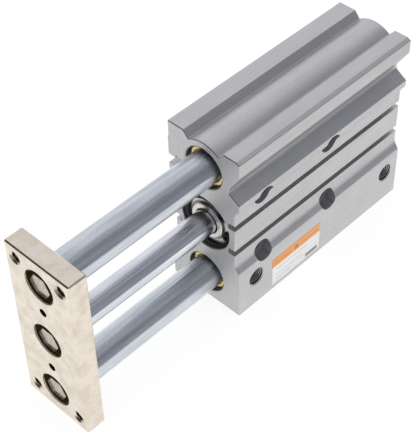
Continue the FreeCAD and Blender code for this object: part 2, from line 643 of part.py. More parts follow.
def gasket(label, place_x):
    """O-ring of a cover, in its groove."""
    ring = doc.addObject("Part::Torus", label)
    ring.Label = label
    ring.Placement.Rotation = FreeCAD.Rotation(FreeCAD.Vector(0, 1, 0), 90)
    bind(ring, Radius2="dims.gasket_dia / 2",
         Radius1="(layout.mouth_dia - dims.gasket_dia) / 2 - dims.gasket_squeeze",
         Placement__Base__x=place_x, Placement__Base__z="layout.axis_height")
    return ring


def make_end_closures():
    """Rod collar, rear cover, their clips, O-rings and the rod seal."""
    rod_hole = "dims.piston_rod_dia / 2 + dims.run_clearance"
    wiper_hole = "dims.piston_rod_dia / 2 + dims.rod_seal_room"
    seal_seat = "layout.rod_seal_dia / 2"
    hub, hub_front = "dims.collar_hub_dia / 2", "-dims.collar_hub"
    seat_front = "dims.rod_seal_lip - dims.collar_hub"
    seat_back = "dims.rod_seal_lip - dims.collar_hub + dims.rod_seal_depth"
    collar = turned_piece("rod_collar", [
        (seat_back, rod_hole), (seat_back, seal_seat), (seat_front, seal_seat),
        (seat_front, wiper_hole), (hub_front, wiper_hole),
        (hub_front, f"{hub} - dims.bore_chamfer"), (f"{hub_front} + dims.bore_chamfer", hub),
        ("0", hub)] + cover_rim(
            "dims.collar_flange", "dims.collar_nose", "dims.collar_gasket_x") + [
        ("dims.collar_flange + dims.collar_nose", rod_hole)], "layout.collar_x")
    cover = turned_piece("rear_cover", [("0", "0")] + cover_rim(
        "dims.cover_flange", "dims.cover_nose", "dims.cover_gasket_x") + [
        ("dims.cover_flange + dims.cover_nose", "0")],
        "layout.cover_x + dims.cover_flange + dims.cover_nose")
    cover.Placement.Rotation = FreeCAD.Rotation(FreeCAD.Vector(0, 0, 1), 180)
    play, seal_rim = "dims.ring_play", f"{seal_seat} - dims.seat_clearance"
    seal = turned_piece("rod_seal", [
        (f"{hub_front} + {play}", rod_hole),
        (f"{seat_front} + {play}", f"{wiper_hole} - dims.seat_clearance"),
        (f"{seat_front} + {play}", seal_rim), (f"{seat_back} - {play}", seal_rim),
        (f"{seat_back} - {play}", rod_hole)], "layout.collar_x")
    lugs = ("dims.clip_lug_dia", "dims.clip_lug_hole", "dims.clip_lug_inset")
    slack = "(dims.clip_groove - dims.clip_thickness) / 2"
    clips = [
        clip(name, "dims.clip_thickness", "(layout.clip_groove_dia - 2 * dims.seat_clearance)",
             "dims.clip_width", "dims.clip_gap", "dims.clip_turn", place, "layout.axis_height",
             "dims.clip_taper", lugs)
        for name, place in (
            ("rod_collar_clip", f"dims.end_lip + {slack} - layout.half_length"),
            ("rear_cover_clip", f"layout.half_length - dims.end_lip - dims.clip_groove + {slack}"))]
    gaskets = [
        gasket("rod_collar_gasket", "layout.collar_x + dims.collar_gasket_x"),
        gasket("rear_cover_gasket",
               "layout.cover_x + dims.cover_flange + dims.cover_nose - dims.cover_gasket_x")]
    return [collar, cover, seal] + clips + gaskets


def make_guide_bearings():
    """Bushings and their clips, in both ends of both guide bores."""
    made = []
    bore = "dims.guide_rod_dia / 2 + dims.run_clearance"
    outer = "layout.guide_bore_dia / 2 - dims.seat_clearance"
    groove_end = "(dims.guide_lip + dims.guide_groove)"
    depth = f"({groove_end} + dims.bushing_setback)"
    slack = "(dims.guide_groove - dims.guide_clip_thickness) / 2"
    chamfer = "dims.bore_chamfer"
    for level, height in (("upper", "layout.upper_z"), ("lower", "layout.lower_z")):
        for end, bushing_x, clip_x in (
            ("front", f"{depth} - layout.half_length",
             f"dims.guide_lip + {slack} - layout.half_length"),
            ("rear", f"layout.half_length - {depth} - dims.bushing_length",
             f"layout.half_length - {groove_end} + {slack}"),
        ):
            made.append(turned_piece(f"{level}_{end}_bushing", [
                ("0", f"{bore} + {chamfer}"), ("0", f"{outer} - {chamfer}"), (chamfer, outer),
                (f"dims.bushing_length - {chamfer}", outer),
                ("dims.bushing_length", f"{outer} - {chamfer}"),
                ("dims.bushing_length", f"{bore} + {chamfer}"),
                (f"dims.bushing_length - {chamfer}", bore), (chamfer, bore)],
                bushing_x, height))
            made.append(clip(
                f"{level}_{end}_bushing_clip", "dims.guide_clip_thickness",
                "(layout.guide_groove_dia - 2 * dims.seat_clearance)", "dims.guide_clip_width",
                "dims.guide_clip_gap", "dims.clip_turn", clip_x, height))
    return made


def make_port_plugs():
    """Hexagon socket plugs of the two unused ports, as one group."""
    plugs = []
    for name, along in (("front_plug", "layout.port_front_x"), ("rear_plug", "layout.port_rear_x")):
        body = new_body(name)
        blank = new_sketch(body, name + "_outline", "XY_Plane")
        draw_circle(blank, "0", "0", "dims.port_dia - 2 * dims.seat_clearance")
        pad(body, name + "_blank", blank, "dims.plug_length")
        socket = new_sketch(body, name + "_socket_outline", "XY_Plane")
        draw_loop(socket, hexagon("dims.plug_socket"))
        pocket(body, name + "_socket", socket, "dims.plug_socket_depth", backwards=True)
        bind(body, Placement__Base__x=along, Placement__Base__y="-dims.plug_port_y",
             Placement__Base__z="dims.plug_recess")
        plugs.append(body)
    group = doc.addObject("Part::Compound", "port_plugs")
    group.Label = "port_plugs"
    group.Links = plugs
    return group


def make_plate():
    """Nickel plated tooling plate, with its counterbores, threads and dowel holes."""
    body = new_body("tooling_plate")
    half_y, half_z = "dims.plate_width / 2", "dims.plate_height / 2"
    sketch = new_sketch(body, "plate_outline", "YZ_Plane")
    draw_loop(sketch, [(f"-{half_y}", f"-{half_z}"), (half_y, f"-{half_z}"),
                       (half_y, half_z), (f"-{half_y}", half_z)])
    pad(body, "plate_blank", sketch, "dims.plate_thickness")
    dress_edges(body, "Chamfer", "plate_edges", "dims.plate_chamfer", lambda e: True)
    sketch = new_sketch(body, "screw_centres", "YZ_Plane")
    for up in ("-dims.guide_pitch", "0", "dims.guide_pitch"):
        draw_circle(sketch, "0", up, "dims.screw_dia")
    hole(body, "screw_seats", sketch, "dims.screw_dia + 2 * dims.shank_room",
         sink="dims.screw_head_dia + 2 * dims.screw_room", sink_depth="layout.screw_sink_depth",
         backwards=True)
    sketch = new_sketch(body, "thread_centres", "YZ_Plane")
    for side_y in ("", "-"):
        for side_z in ("", "-"):
            draw_circle(sketch, f"{side_y}({half_y} - dims.plate_tap_inset_y)",
                        f"{side_z}({half_z} - dims.plate_tap_inset_z)", "dims.plate_tap_dia")
    hole(body, "threads", sketch, "dims.plate_tap_dia", sink="dims.plate_sink_dia", backwards=True)
    sketch = new_sketch(body, "dowel_centres", "YZ_Plane")
    for up in ("dims.plate_dowel_pitch / 2", "-dims.plate_dowel_pitch / 2"):
        draw_circle(sketch, "0", up, "dims.plate_dowel_dia")
    hole(body, "dowel_holes", sketch, "dims.plate_dowel_dia", backwards=True)
    bind(body, Placement__Base__x="layout.plate_front_x", Placement__Base__z="layout.axis_height")
    return body


def make_plate_screws():
    """The three low head screws that hold the plate on the rods, as one group."""
    screws = []
    head, shank = "dims.screw_head_dia / 2", "dims.screw_dia / 2"
    reach = "dims.screw_head + layout.screw_length"
    for name, height in (("upper_screw", "layout.upper_z"), ("middle_screw", "layout.axis_height"),
                         ("lower_screw", "layout.lower_z")):
        body = turned_piece(name, [
            ("0", "0"), ("0", f"{head} - dims.head_chamfer"), ("dims.head_chamfer", head),
            ("dims.screw_head", head), ("dims.screw_head", shank),
            (f"{reach} - dims.head_chamfer", shank), (reach, f"{shank} - dims.head_chamfer"),
            (reach, "0")], "layout.plate_front_x + dims.screw_recess", height)
        socket = new_sketch(body, name + "_socket_outline", "YZ_Plane")
        draw_loop(socket, hexagon("dims.socket_across"))
        pocket(body, name + "_socket", socket, "dims.socket_depth", backwards=True)
        screws.append(body)
    group = doc.addObject("Part::Compound", "plate_screws")
    group.Label = "plate_screws"
    group.Links = screws
    return group


def rod_corners(length, radius, front_hole, front_depth, rear_hole=None, rear_depth=None):
    """Turned section of a rod, drilled at the plate's end and, for the piston rod, at both."""
    chamfer = "dims.rod_chamfer"
    corners = [("0", front_hole), ("0", f"{radius} - {chamfer}"), (chamfer, radius),
               (f"{length} - {chamfer}", radius), (length, f"{radius} - {chamfer}")]
    if rear_hole is None:
        corners += [(length, "0")]
    else:
        corners += [(length, rear_hole), (f"{length} - {rear_depth}", rear_hole),
                    (f"{length} - {rear_depth}", "0")]
    return corners + [(front_depth, "0"), (front_depth, front_hole)]


def make_rods():
    """Two guide rods and the piston rod, from the back of the plate."""
    thread = "dims.screw_dia / 2 + dims.seat_clearance"
    depth = "dims.screw_reach + dims.screw_spare"
    made = [
        turned_piece(name, rod_corners("layout.guide_rod_length", "dims.guide_rod_dia / 2",
                                       thread, depth), "layout.plate_back_x", height)
        for name, height in (("upper_guide_rod", "layout.upper_z"),
                             ("lower_guide_rod", "layout.lower_z"))]
    made.append(turned_piece("piston_rod", rod_corners(
        "layout.piston_rod_length", "dims.piston_rod_dia / 2", thread, depth,
        "dims.piston_screw_dia / 2 + dims.seat_clearance",
        "(dims.piston_screw_reach + dims.screw_spare)"), "layout.plate_back_x"))
    return made


def make_piston():
    """Piston with its seal, magnet, cushion rings and screw."""
    outer = "dims.bore_dia / 2 - dims.piston_play"
    seal_end = "dims.seal_front + dims.seal_groove"
    magnet_end = "dims.magnet_front + dims.magnet_groove"
    bumper_seat = "(dims.bumper_thickness - dims.bumper_proud)"
    bumper = "layout.bumper_dia / 2 + dims.seat_clearance"
    rod = "dims.piston_rod_dia / 2 + dims.seat_clearance"
    shank = "dims.piston_screw_dia / 2 + dims.shank_room"
    sink = "dims.piston_screw_head_dia / 2 + dims.screw_room"
    length, seat = "dims.piston_length", "dims.rod_seat"
    sink_x = f"{length} - dims.piston_screw_sink"
    piston = turned_piece("piston", [
        (bumper_seat, rod), (bumper_seat, bumper), ("0", bumper), ("0", outer),
        ("dims.seal_front", outer), ("dims.seal_front", "layout.seal_root_dia / 2"),
        (seal_end, "layout.seal_root_dia / 2"), (seal_end, outer),
        ("dims.magnet_front", outer), ("dims.magnet_front", "layout.magnet_root_dia / 2"),
        (magnet_end, "layout.magnet_root_dia / 2"), (magnet_end, outer),
        (length, outer), (length, bumper), (f"{length} - {bumper_seat}", bumper),
        (f"{length} - {bumper_seat}", sink), (sink_x, sink), (sink_x, shank),
        (seat, shank), (seat, rod)], "layout.piston_x")
    ring_inner = "layout.seal_root_dia / 2 + dims.seat_clearance"
    crown = "dims.bore_dia / 2 - dims.run_clearance"
    seal = turned_piece("piston_seal", [
        ("dims.ring_play", ring_inner), ("dims.ring_play", f"{crown} - dims.bore_chamfer"),
        ("dims.seal_groove / 2", crown),
        ("dims.seal_groove - dims.ring_play", f"{crown} - dims.bore_chamfer"),
        ("dims.seal_groove - dims.ring_play", ring_inner)], "layout.piston_x + dims.seal_front")
    magnet_inner = "layout.magnet_root_dia / 2 + dims.seat_clearance"
    magnet = turned_piece("piston_magnet", [
        ("dims.ring_play", magnet_inner), ("dims.ring_play", f"{outer} - dims.ring_play"),
        ("dims.magnet_groove - dims.ring_play", f"{outer} - dims.ring_play"),
        ("dims.magnet_groove - dims.ring_play", magnet_inner)],
        "layout.piston_x + dims.magnet_front")
    rings = [
        turned_piece(name, [
            ("0", inner), ("0", "layout.bumper_dia / 2"),
            ("dims.bumper_thickness", "layout.bumper_dia / 2"), ("dims.bumper_thickness", inner)],
            place)
        for name, inner, place in (
            ("front_bumper", f"{rod} + dims.ring_play", "layout.piston_x - dims.bumper_proud"),
            ("rear_bumper", f"{sink} + dims.ring_play",
             f"layout.piston_x + {length} - {bumper_seat}"))]
    screw_head = "dims.piston_screw_head_dia / 2"
    screw_shank = "dims.piston_screw_dia / 2"
    reach = (f"(dims.piston_screw_head + {sink_x} - {seat} + dims.piston_screw_reach)")
    screw = turned_piece("piston_screw", [
        ("0", "0"), ("0", screw_head), ("dims.piston_screw_head", screw_head),
        ("dims.piston_screw_head", screw_shank), (reach, screw_shank), (reach, "0")],
        f"layout.piston_x + {sink_x} + dims.piston_screw_head")
    socket = new_sketch(screw, "piston_screw_socket_outline", "YZ_Plane")
    draw_loop(socket, hexagon("dims.piston_screw_socket"))
    pocket(screw, "piston_screw_socket", socket, "dims.piston_screw_socket_depth", backwards=True)
    screw.Placement.Rotation = FreeCAD.Rotation(FreeCAD.Vector(0, 0, 1), 180)
    return [piston, seal, magnet] + rings + [screw]


def check_and_write(pieces):
    """Recompute, refuse any failed object or bad shape, and write one STEP file for each."""
    doc.recompute()
    failed = [item.Name for item in doc.Objects
              if "Invalid" in item.State or "Error" in item.State]
    bad = [piece.Label for piece in pieces if piece.Shape.isNull() or not piece.Shape.isValid()]
    if failed or bad:
        raise RuntimeError(f"failed: {failed} bad shapes: {bad}")
    os.makedirs("parts", exist_ok=True)
    for piece in pieces:
        piece.Shape.exportStep(f"parts/{piece.Label}.step")
        print(f"{piece.Label}: {len(piece.Shape.Solids)} solid, {piece.Shape.Volume:.1f} mm3")


pieces = [make_barrel()]
pieces += make_end_closures()
pieces += make_guide_bearings()
pieces += [make_port_plugs(), make_plate(), make_plate_screws()]
pieces += make_rods()
pieces += make_piston()
check_and_write(pieces)
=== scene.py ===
"""Looks of a guided pneumatic cylinder: its finishes, type label, threads and studio."""

import json
import math

import bmesh
import bpy
from bpy.props import FloatProperty, FloatVectorProperty, IntProperty, PointerProperty
from mathutils import Matrix, Vector


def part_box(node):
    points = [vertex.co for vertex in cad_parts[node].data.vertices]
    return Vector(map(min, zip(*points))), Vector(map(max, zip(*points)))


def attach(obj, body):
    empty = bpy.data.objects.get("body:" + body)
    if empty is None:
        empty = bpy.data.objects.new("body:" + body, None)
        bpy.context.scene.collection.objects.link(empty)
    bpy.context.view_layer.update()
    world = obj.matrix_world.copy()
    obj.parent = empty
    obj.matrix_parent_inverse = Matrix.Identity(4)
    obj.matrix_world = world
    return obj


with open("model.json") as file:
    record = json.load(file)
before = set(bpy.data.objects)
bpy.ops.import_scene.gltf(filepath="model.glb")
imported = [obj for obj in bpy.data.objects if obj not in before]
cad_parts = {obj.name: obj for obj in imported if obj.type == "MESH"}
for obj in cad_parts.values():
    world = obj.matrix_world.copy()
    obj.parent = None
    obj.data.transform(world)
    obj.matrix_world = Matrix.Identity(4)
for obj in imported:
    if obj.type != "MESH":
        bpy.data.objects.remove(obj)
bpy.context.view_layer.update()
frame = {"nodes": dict(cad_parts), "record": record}        # nodes and record of the packed cylinder

bl_info = {
    "name": "Guided Cylinder Looks",
    "version": (1, 0, 0),
    "blender": (4, 5, 0),
    "location": "3D View > Sidebar > Cylinder",
    "description": "Finishes, type label, threads and studio of a guided pneumatic cylinder",
    "category": "Object",
}

MM = 0.001
MOUNTS = {mount["name"]: mount for mount in frame["record"]["mounts"]}
PORT_FACE_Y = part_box("barrel_body")[0].y
LEVELS = {name: (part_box(name)[0].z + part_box(name)[1].z) / 2
          for name in ("upper_guide_rod", "piston_rod", "lower_guide_rod")}
BUSHINGS = [f"{level}_{end}_bushing" for level in ("upper", "lower") for end in ("front", "rear")]

# Sizes that the packed boxes don't give, as in the solids.
SOCKET_DEPTH = 0.75 * MM        # of the plate screws
HUB_HEIGHT = 1.35 * MM          # of the rod collar's hub, in front of its flange
HUB_RADIUS = 9.0 * MM
WIPER_HOLE = 6.5 * MM           # radius of the rod collar's mouth
COUNTERBORE_RADIUS = 5.0 * MM   # of the side bolts

# Walls of the holes, in millimetres from their mounts' places inwards. The places of the side
# bolts and the ports lie below the port face, so their walls begin before them.
COUNTERBORE_WALL = (-5.4, 14.0)
PORT_WALL = (-4.1, 8.0)
REAR_THREAD_WALL = (1.0, 14.0)
PLATE_THREAD_WALL = (0.3, 20.0)
DOWEL_WALL = (0.4, 20.0)
TAPPED_DEPTH = 12.0 * MM        # of the threads in the rear face and in the mounting holes
PORT_THREAD = 7.2 * MM
PORT_THREAD_START = 0.8 * MM    # port face to the first ridge

# How squarely a face looks along the body where its saw marks begin, and where they are full.
SAWN = (0.9, 0.98)

# What the metal mirrors round the cylinder's long axis: degrees from overhead towards the port
# side, and how far from the dark side of the room to its bright wall.
ROOM = ((-180, 0.9), (-95, 0.86), (-65, 1.0), (-31, 0.68), (-12, 0.82), (8, 0.14), (14, 0.05),
        (26, 0.19), (46, 0.0), (81, 0.13), (98, 0.0), (180, 0.2))
# Two round spots in that room: direction, and the cosines at which a spot begins and is full.
SKYLIGHT = (Vector((-0.27, -0.05, 0.96)), 0.82, 0.93)     # soft light that the tops mirror
FLAG = (Vector((-0.73, 0.40, 0.55)), 0.64, 0.82)          # dark cloth that edges and bores mirror

TABLE_FADE = 1.3                # where the table has faded out, in table radii
TABLE_EDGE = 1.5                # edge of its mesh, past that
TABLE_DROP = 0.05 * MM          # table top below the part, so that the two faces don't flicker
SEEN_WHITE = 1.07               # glow and lit colour of the seen table together, past white


def linear(hex_colour):
    """Linear red, green and blue of an sRGB hex colour."""
    shares = [int(hex_colour[i:i + 2], 16) / 255 for i in (1, 3, 5)]
    return [s / 12.92 if s <= 0.04045 else ((s + 0.055) / 1.055) ** 2.4 for s in shares]


def colour_property(name, hex_colour, description):
    """Colour that a user can change, with its default written as sRGB hex."""
    return FloatVectorProperty(name=name, description=description, subtype="COLOR", size=3,
                               min=0.0, max=1.0, default=linear(hex_colour))


def length_property(name, millimetres, description):
    """Length that a user can change, with its default written in millimetres."""
    return FloatProperty(name=name, description=description, subtype="DISTANCE", unit="LENGTH",
                         min=0.0, precision=5, default=millimetres * MM)


class CYLINDER_PG_stage(bpy.types.PropertyGroup):
    """Camera, surroundings and table."""

    bearing: FloatProperty(name="Bearing", description="Direction to the camera, from +X towards +Y",
                           subtype="ANGLE", default=math.radians(-135.106))
    elevation: FloatProperty(name="Elevation", description="Camera above the horizon",
                             subtype="ANGLE", default=math.radians(45.332))
    roll: FloatProperty(name="Roll", description="Turn of the camera about its own line of sight",
                        subtype="ANGLE", default=math.radians(-1.479))
    distance: FloatProperty(name="Distance", description="Camera to the point that it looks at",
                            subtype="DISTANCE", unit="LENGTH", default=0.5279)
    target: FloatVectorProperty(name="Target", description="Point in the middle of the view",
                                subtype="TRANSLATION", unit="LENGTH",
                                default=(-0.06866, -0.01342, 0.067475))
    lens: FloatProperty(name="Lens", description="Focal length, for a 36 mm sensor, in millimetres",
                        default=105.63)
    wall: colour_property("Bright wall", "#FAFAFF", "Mirrored on the mounting side and from above")
    dark: colour_property("Dark side", "#8B8D94", "Mirrored over the port side")
    flag: colour_property("Flag", "#3A322C", "Dark cloth, mirrored high beyond the plate")
    table: colour_property("Table", "#F7F7F6", "Pale table top")
    table_radius: length_property("Table radius", 240, "Middle of the table to where its fading begins")
    table_glow: FloatProperty(name="Table glow", description="White that the seen or mirrored "
                              "table has whatever falls on it, so that its shadow stays faint",
                              min=0.0, max=1.0, default=0.84)


class CYLINDER_PG_finishes(bpy.types.PropertyGroup):
    """Colours of the metal finishes."""

    anodised: colour_property("Anodised", "#D0D0D1", "Clear anodised aluminium")
    nickel: colour_property("Nickel", "#EAE0D2", "Nickel plated steel")
    chrome: colour_property("Chrome", "#E1E4E8", "Hard chrome on the guide bars")
    piston_rod: colour_property("Piston rod", "#EBEBF0", "Hard chrome on the piston rod")
    turned: colour_property("Turned aluminium", "#E2E0DA", "Bare turned aluminium")
    bronze: colour_property("Bronze", "#F7E0A4", "Guide bushings")
    black_oxide: colour_property("Black oxide", "#282320", "Screws")
    struck: colour_property("Struck steel", "#E9DFD5", "Bare floors of the screws' sockets")
    # Painted shade in small holes, in the rod collar's mouth and round its hub, and above the bushings on the port
    # side.
    shadow: colour_property("Painted shade", "#2B2A27", "In small holes and on turned parts")
    # Dull bored grey with painted shade: it darkens the counterbores' walls, and a small share of it is painted
    # shade in the ports.
    bored_and_shade: colour_property("Bored walls", "#76777D", "Mounting holes; the ports are darker")


class CYLINDER_PG_label(bpy.types.PropertyGroup):
    """Type label on the port face."""

    length: length_property("Length", 33.0, "Along the body")
    height: length_property("Height", 16.5, "Across the port face")
    thickness: length_property("Thickness", 0.12, "Printed film and its glue")
    front: length_property("Front gap", 22.0, "Front face of the body to the label")
    foot: length_property("Foot", 2.8, "Underside of the body to the label")
    corner: length_property("Corner", 0.5, "Radius of the corners")
    band: length_property("Band", 5.3, "Height of the coloured band")
    band_colour: colour_property("Band colour", "#F2A257", "Printed band")
    paper: colour_property("Paper", "#F6F6F4", "Bare film")
    ink: colour_property("Ink", "#3B3A3C", "Printed rules")


class CYLINDER_PG_threads(bpy.types.PropertyGroup):
    """Threads of the tapped holes."""

    coarse_pitch: length_property("M6 pitch", 1.0, "Plate, rear face and mounting holes")
    pipe_pitch: length_property("Port pitch", 0.907, "Air ports, 28 turns to the inch")
    ridge: length_property("Ridge", 0.36, "Height of the ridge inside the drilled wall")
    steps: IntProperty(name="Steps", description="Divisions of one turn", min=12, default=28)


def add_node(tree, kind, inputs=None, output=None, **settings):
    """Add a node, set it up, feed its inputs, and return its named or first live output."""
    node = tree.nodes.new(kind)
    for name, setting in settings.items():
        setattr(node, name, setting)
    for name, given in (inputs or {}).items():
        socket = node.inputs[name] if isinstance(name, int) else next(
            s for s in node.inputs if s.enabled and s.name == name)
        if isinstance(given, bpy.types.NodeSocket):
            tree.links.new(given, socket)
        elif socket.type == "RGBA":
            socket.default_value = (*given, 1.0)
        else:
            socket.default_value = given
    return next((s for s in node.outputs if s.enabled and output in (None, s.name)), None)


def per(millimetres):
    """Texture scale at which one period of a pattern is that long."""
    return 1 / (millimetres * MM)


def new_finish(name, pattern, colours, metallic, roughness, relief_mm):
    """Material of one real finish: returns it, its tree and its shader.

    pattern(tree, place) gives two sockets from 0 to 1 over object coordinates: a shade, which
    leads from the first colour and roughness to the second, and a relief of that depth.
    """
    material = bpy.data.materials.new(name)
    material.use_nodes = True
    tree = material.node_tree
    tree.nodes.clear()
    shade, relief = pattern(tree, add_node(tree, "ShaderNodeTexCoord", output="Object"))
    # Noise seldom leaves this middle span, which is stretched over both colours.
    share = add_node(tree, "ShaderNodeMapRange", {"Value": shade, "From Min": 0.3, "From Max": 0.7})
    shader = add_node(tree, "ShaderNodeBsdfPrincipled", {
        "Base Color": add_node(tree, "ShaderNodeMix", {
            "Factor": share, "A": colours[0], "B": colours[1]}, data_type="RGBA"),
        "Metallic": metallic,
        "Roughness": add_node(tree, "ShaderNodeMapRange", {
            "Value": share, "To Min": roughness[0], "To Max": roughness[1]}),
        "Normal": add_node(tree, "ShaderNodeBump", {
            "Height": relief, "Distance": relief_mm * MM})})
    add_node(tree, "ShaderNodeOutputMaterial", {"Surface": shader})
    return material, tree, shader.node


def lay_over(tree, shader, mask, colour):
    """Blend another colour over the finish where the mask is 1."""
    under = shader.inputs["Base Color"].links[0].from_socket
    tree.links.new(add_node(tree, "ShaderNodeMix", {
        "Factor": mask, "A": under, "B": colour}, data_type="RGBA"), shader.inputs["Base Color"])


def hole_pattern(*names):
    """Middle of the holes of one or two mounts, half their spacings, and the way that they face."""
    mount = MOUNTS[names[0]]
    first, last = (Vector(MOUNTS[name]["pos_m"]) for name in (names[0], names[-1]))
    across = Vector((0, 1, 0)) if abs(mount["axis"][0]) > 0.5 else Vector((1, 0, 0))
    half = across * mount["dims"].get("spacing_x_mm", 0) * MM / 2
    half.z = mount["dims"].get("spacing_y_mm", 0) * MM / 2
    return (first + last) / 2, half + (last - first) / 2, Vector(mount["axis"])


def hole_radius(name):
    """Radius of a mount's holes, from the record."""
    dims = MOUNTS[name]["dims"]
    return dims.get("hole_r_mm", dims.get("r_mm")) * MM


def hole_masks(tree, hole, wall, *names):
    """Mask of the inside of round holes between two depths, and distance to their axes."""
    middle, half, axis = hole_pattern(*names)
    place = add_node(tree, "ShaderNodeTexCoord", output="Object")
    offset = add_node(tree, "ShaderNodeVectorMath", {0: place, 1: middle}, operation="SUBTRACT")
    height = add_node(tree, "ShaderNodeVectorMath", {0: offset, 1: axis}, "Value",
                      operation="DOT_PRODUCT")
    folded = add_node(tree, "ShaderNodeVectorMath", {0: offset}, operation="ABSOLUTE")
    folded = add_node(tree, "ShaderNodeVectorMath", {0: folded, 1: half}, operation="SUBTRACT")
    flat = [1 - abs(share) for share in axis]
    folded = add_node(tree, "ShaderNodeVectorMath", {0: folded, 1: flat}, operation="MULTIPLY")
    radius = add_node(tree, "ShaderNodeVectorMath", {0: folded}, "Value", operation="LENGTH")
    margin = 0.08 * MM      # so that the wall itself lies inside the limit
    near = add_node(tree, "ShaderNodeMath", {0: radius, 1: hole + margin}, operation="LESS_THAN")
    top, bottom = wall
    deep = add_node(tree, "ShaderNodeMath", {
        0: height, 1: -(top + bottom) / 2 * MM, 2: (bottom - top) / 2 * MM}, operation="COMPARE")
    return add_node(tree, "ShaderNodeMath", {0: near, 1: deep}, operation="MULTIPLY"), radius


def darken_holes(tree, shader, colour, wall, *names):
    """Painted shade on the walls of drilled holes, darkest at their roots, with the crests of their threads left
    lighter.
    """
    hole = hole_radius(names[0])
    inside, radius = hole_masks(tree, hole, wall, *names)
    ridge = bpy.context.scene.cylinder_threads.ridge
    # Painted shade, from the threads' crests down to their roots.
    wall_shade = add_node(tree, "ShaderNodeMapRange", {
        "Value": radius, "From Min": hole - ridge * 0.8, "From Max": hole - ridge * 0.3})
    lay_over(tree, shader, add_node(tree, "ShaderNodeMath", {0: inside, 1: wall_shade},
                                    operation="MULTIPLY"), colour)


def extruded_skin(tree, place):
    """Etched grain, drawn coarse enough to show, die lines along the bar and saw marks across."""
    grain = add_node(tree, "ShaderNodeTexNoise", {
        "Vector": place, "Scale": per(0.6), "Detail": 2.0})
    die_lines = add_node(tree, "ShaderNodeTexNoise", {
        "Vector": add_node(tree, "ShaderNodeMapping", {"Vector": place, "Scale": (0.02, 1, 1)}),
        "Scale": per(1.0), "Detail": 4.0})
    saw_marks = add_node(tree, "ShaderNodeTexNoise", {
        "Vector": add_node(tree, "ShaderNodeMapping", {"Vector": place, "Scale": (1, 1, 0.04)}),
        "Scale": per(0.6), "Detail": 3.0})
    clouds = add_node(tree, "ShaderNodeTexNoise", {
        "Vector": place, "Scale": per(14), "Detail": 2.0})
    sawn = add_node(tree, "ShaderNodeMapRange", {
        "Value": end_facing(tree), "From Min": SAWN[0], "From Max": SAWN[1]})
    lines = add_node(tree, "ShaderNodeMix", {"Factor": sawn, "A": die_lines, "B": saw_marks})
    relief = add_node(tree, "ShaderNodeMix", {"Factor": 0.55, "A": lines, "B": grain})
    return add_node(tree, "ShaderNodeMix", {"Factor": 0.2, "A": relief, "B": clouds}), relief


def end_facing(tree):
    """How squarely a surface faces either end of the cylinder."""
    normal = add_node(tree, "ShaderNodeTexCoord", output="Normal")
    along = add_node(tree, "ShaderNodeSeparateXYZ", {"Vector": normal}, "X")
    return add_node(tree, "ShaderNodeMath", {0: along}, operation="ABSOLUTE")


def upward_edge_shade(tree):
    """Mask of painted shade on the edges broken at 45 degrees round both sawn ends, where they look upwards.

    They lie in the last millimetre of the body; other slopes along it stay out.
    """
    normal = add_node(tree, "ShaderNodeTexCoord", output="Normal")
    place = add_node(tree, "ShaderNodeTexCoord", output="Object")
    broken = add_node(tree, "ShaderNodeMath", {
        0: end_facing(tree), 1: math.cos(math.pi / 4), 2: 0.12}, operation="COMPARE")
    upward = add_node(tree, "ShaderNodeMath", {
        0: add_node(tree, "ShaderNodeSeparateXYZ", {"Vector": normal}, "Z"), 1: 0.3},
        operation="GREATER_THAN")
    from_middle = add_node(tree, "ShaderNodeMath", {
        0: add_node(tree, "ShaderNodeSeparateXYZ", {"Vector": place}, "X")}, operation="ABSOLUTE")
    at_end = add_node(tree, "ShaderNodeMath", {
        0: from_middle, 1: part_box("barrel_body")[1].x - MM}, operation="GREATER_THAN")
    seen = add_node(tree, "ShaderNodeMath", {0: broken, 1: upward}, operation="MULTIPLY")
    return add_node(tree, "ShaderNodeMath", {0: seen, 1: at_end}, operation="MULTIPLY")


def anodised_extrusion(finishes):
    """Clear anodised extrusion: a soft satin grey, duller on its sawn ends, with painted shade on the deburred edges
    that look upwards and in its holes.
    """
    colour = finishes.anodised
    colours = [c * 0.82 for c in colour], [c * 1.03 for c in colour]
    material, tree, shader = new_finish("clear_anodised_extrusion", extruded_skin, colours,
                                        metallic=1.0, roughness=(0.50, 0.42), relief_mm=0.012)
    # Painted shade: the deburred edges that look upwards are darkened.
    lay_over(tree, shader, upward_edge_shade(tree), [c * 0.55 for c in colour])
    # Painted shade in part: the counterbores' walls take a darker, dull grey over their bored finish, and turn from
    # metal to diffuse.
    bored_and_shade = hole_masks(tree, COUNTERBORE_RADIUS, COUNTERBORE_WALL, "side_bolts")[0]
    lay_over(tree, shader, bored_and_shade, finishes.bored_and_shade)
    dull = add_node(tree, "ShaderNodeMapRange", {
        "Value": end_facing(tree), "From Min": SAWN[0], "From Max": SAWN[1], "To Max": 0.45})
    dull = add_node(tree, "ShaderNodeMath", {0: dull, 1: bored_and_shade}, operation="MAXIMUM")
    tree.links.new(add_node(tree, "ShaderNodeMath", {0: 1.0, 1: dull}, operation="SUBTRACT"),
                   shader.inputs["Metallic"])
    # Painted shade: the ports' walls nearly black, their threads' crests lighter.
    darken_holes(tree, shader, [c * 0.18 for c in finishes.bored_and_shade], PORT_WALL,
                 "front_port", "rear_port")
    # Painted shade in the rear face's tapped holes.
    darken_holes(tree, shader, finishes.shadow, REAR_THREAD_WALL, "rear_bolts")
    return material


